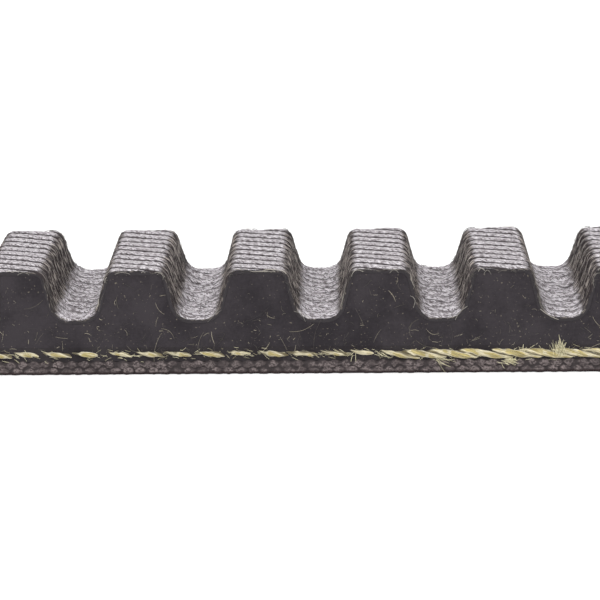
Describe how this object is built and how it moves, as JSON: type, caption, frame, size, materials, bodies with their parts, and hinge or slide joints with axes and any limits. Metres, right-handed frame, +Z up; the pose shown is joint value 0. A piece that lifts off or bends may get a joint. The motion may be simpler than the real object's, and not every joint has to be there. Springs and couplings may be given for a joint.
{
  "type": "cogged v belt",
  "caption": "Endless raw-edge V belt with moulded cogs on the inside, woven plies on the back and a tension cord showing at the flanks.",
  "frame": {"origin": "middle of the lower run's back face, on the plane that the belt stands on", "axes": "+X along the straight runs, +Y across the width, +Z up through the loop; the cogs are on the inside"},
  "size_m": [0.2936, 0.016, 0.078],
  "materials": {
    "back_fabric": "woven polyester and cotton ply, rubbered, grey-brown",
    "inner_fabric": "woven ply, rubbered, grey-brown",
    "cushion_rubber": "matte near-black, cut flank",
    "aramid_cord": "twisted cream-yellow aramid, cut open at the flank",
    "fibre_rubber": "matte near-black with sparse chopped yellowish fibres",
    "liner_fabric": "ribbed lavender-grey fabric, ribs along the belt"
  },
  "bodies": {
    "lower_center": {"lower_center_outer_ply": "back_fabric", "lower_center_inner_ply": "inner_fabric", "lower_center_cushion_rubber": "cushion_rubber", "lower_center_tension_cords": "aramid_cord", "lower_center_cog_rubber": "fibre_rubber", "lower_center_cog_liner": "liner_fabric"},
    "lower_right": {"lower_right_outer_ply": "back_fabric", "lower_right_inner_ply": "inner_fabric", "lower_right_cushion_rubber": "cushion_rubber", "lower_right_tension_cords": "aramid_cord", "lower_right_cog_rubber": "fibre_rubber", "lower_right_cog_liner": "liner_fabric"},
    "lower_left": {"lower_left_outer_ply": "back_fabric", "lower_left_inner_ply": "inner_fabric", "lower_left_cushion_rubber": "cushion_rubber", "lower_left_tension_cords": "aramid_cord", "lower_left_cog_rubber": "fibre_rubber", "lower_left_cog_liner": "liner_fabric"},
    "bend_right": {"bend_right_outer_ply": "back_fabric", "bend_right_inner_ply": "inner_fabric", "bend_right_cushion_rubber": "cushion_rubber", "bend_right_tension_cords": "aramid_cord", "bend_right_cog_rubber": "fibre_rubber", "bend_right_cog_liner": "liner_fabric"},
    "bend_left": {"bend_left_outer_ply": "back_fabric", "bend_left_inner_ply": "inner_fabric", "bend_left_cushion_rubber": "cushion_rubber", "bend_left_tension_cords": "aramid_cord", "bend_left_cog_rubber": "fibre_rubber", "bend_left_cog_liner": "liner_fabric"},
    "upper_right": {"upper_right_outer_ply": "back_fabric", "upper_right_inner_ply": "inner_fabric", "upper_right_cushion_rubber": "cushion_rubber", "upper_right_tension_cords": "aramid_cord", "upper_right_cog_rubber": "fibre_rubber", "upper_right_cog_liner": "liner_fabric"},
    "upper_left": {"upper_left_outer_ply": "back_fabric", "upper_left_inner_ply": "inner_fabric", "upper_left_cushion_rubber": "cushion_rubber", "upper_left_tension_cords": "aramid_cord", "upper_left_cog_rubber": "fibre_rubber", "upper_left_cog_liner": "liner_fabric"},
    "upper_center_right": {"upper_center_right_outer_ply": "back_fabric", "upper_center_right_inner_ply": "inner_fabric", "upper_center_right_cushion_rubber": "cushion_rubber", "upper_center_right_tension_cords": "aramid_cord", "upper_center_right_cog_rubber": "fibre_rubber", "upper_center_right_cog_liner": "liner_fabric"},
    "upper_center_left": {"upper_center_left_outer_ply": "back_fabric", "upper_center_left_inner_ply": "inner_fabric", "upper_center_left_cushion_rubber": "cushion_rubber", "upper_center_left_tension_cords": "aramid_cord", "upper_center_left_cog_rubber": "fibre_rubber", "upper_center_left_cog_liner": "liner_fabric"}
  },
  "joints": [
    {"name": "flex_lower_right", "type": "hinge", "parent": "lower_center", "child": "lower_right", "pos_m": [0.0294, 0, 0.00155], "axis": [0, -1, 0], "range_deg": [0, 15], "stiffness_Nm_per_rad": 0.15},
    {"name": "flex_bend_right_low", "type": "hinge", "parent": "lower_right", "child": "bend_right", "pos_m": [0.13427, 0, 0.01251], "axis": [0, -1, 0], "range_deg": [-15, 0], "stiffness_Nm_per_rad": 0.15},
    {"name": "flex_bend_right_high", "type": "hinge", "parent": "bend_right", "child": "upper_right", "pos_m": [0.13427, 0, 0.06545], "axis": [0, -1, 0], "range_deg": [-15, 0], "stiffness_Nm_per_rad": 0.15},
    {"name": "flex_upper_right", "type": "hinge", "parent": "upper_right", "child": "upper_center_right", "pos_m": [0.0294, 0, 0.07642], "axis": [0, -1, 0], "range_deg": [0, 15], "stiffness_Nm_per_rad": 0.15},
    {"name": "flex_lower_left", "type": "hinge", "parent": "lower_center", "child": "lower_left", "pos_m": [-0.0294, 0, 0.00155], "axis": [0, 1, 0], "range_deg": [0, 15], "stiffness_Nm_per_rad": 0.15},
    {"name": "flex_bend_left_low", "type": "hinge", "parent": "lower_left", "child": "bend_left", "pos_m": [-0.13427, 0, 0.01251], "axis": [0, 1, 0], "range_deg": [-15, 0], "stiffness_Nm_per_rad": 0.15},
    {"name": "flex_bend_left_high", "type": "hinge", "parent": "bend_left", "child": "upper_left", "pos_m": [-0.13427, 0, 0.06545], "axis": [0, 1, 0], "range_deg": [-15, 0], "stiffness_Nm_per_rad": 0.15},
    {"name": "flex_upper_left", "type": "hinge", "parent": "upper_left", "child": "upper_center_left", "pos_m": [-0.0294, 0, 0.07642], "axis": [0, 1, 0], "range_deg": [0, 15], "stiffness_Nm_per_rad": 0.15}
  ],
  "couplings": [
    {"joint": "flex_bend_right_low", "follows": "flex_lower_right", "ratio": -1},
    {"joint": "flex_bend_right_high", "follows": "flex_lower_right", "ratio": -1},
    {"joint": "flex_upper_right", "follows": "flex_lower_right", "ratio": 1},
    {"joint": "flex_lower_left", "follows": "flex_lower_right", "ratio": 1},
    {"joint": "flex_bend_left_low", "follows": "flex_lower_right", "ratio": -1},
    {"joint": "flex_bend_left_high", "follows": "flex_lower_right", "ratio": -1},
    {"joint": "flex_upper_left", "follows": "flex_lower_right", "ratio": 1}
  ]
}
